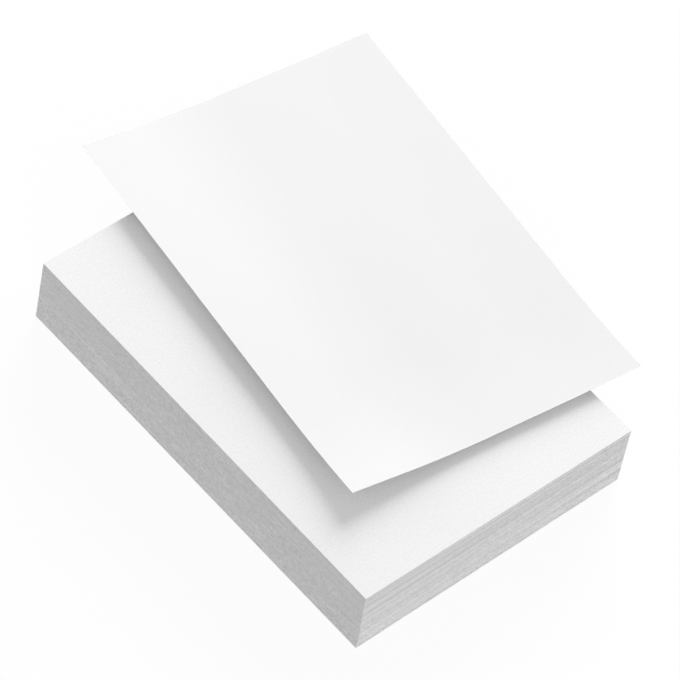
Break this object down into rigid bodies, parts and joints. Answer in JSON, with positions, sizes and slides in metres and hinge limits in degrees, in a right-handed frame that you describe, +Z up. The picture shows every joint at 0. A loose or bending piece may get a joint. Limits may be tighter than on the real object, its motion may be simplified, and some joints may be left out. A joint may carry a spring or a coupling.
{
  "type": "ream of paper",
  "caption": "Squared-up pile of plain white A4 paper, with a loose sheet lying askew on top, its front and both long edges curling up.",
  "frame": {"origin": "middle of the bottom sheet's underside, where the pile rests", "axes": "+X along the sheets' short edges, to the side where the loose sheet hangs over, +Y along their long edges, away from the near short side, +Z up"},
  "size_m": [0.2817, 0.3507, 0.0618],
  "materials": {
    "cut_edges": "uncoated white paper, with the fine lines of the sheets' cut edges on its sides",
    "sheet_face": "uncoated white paper, smooth and matt"
  },
  "bodies": {
    "root": {"sheet_stack": "cut_edges", "loose_sheet": "sheet_face"}
  },
  "joints": []
}
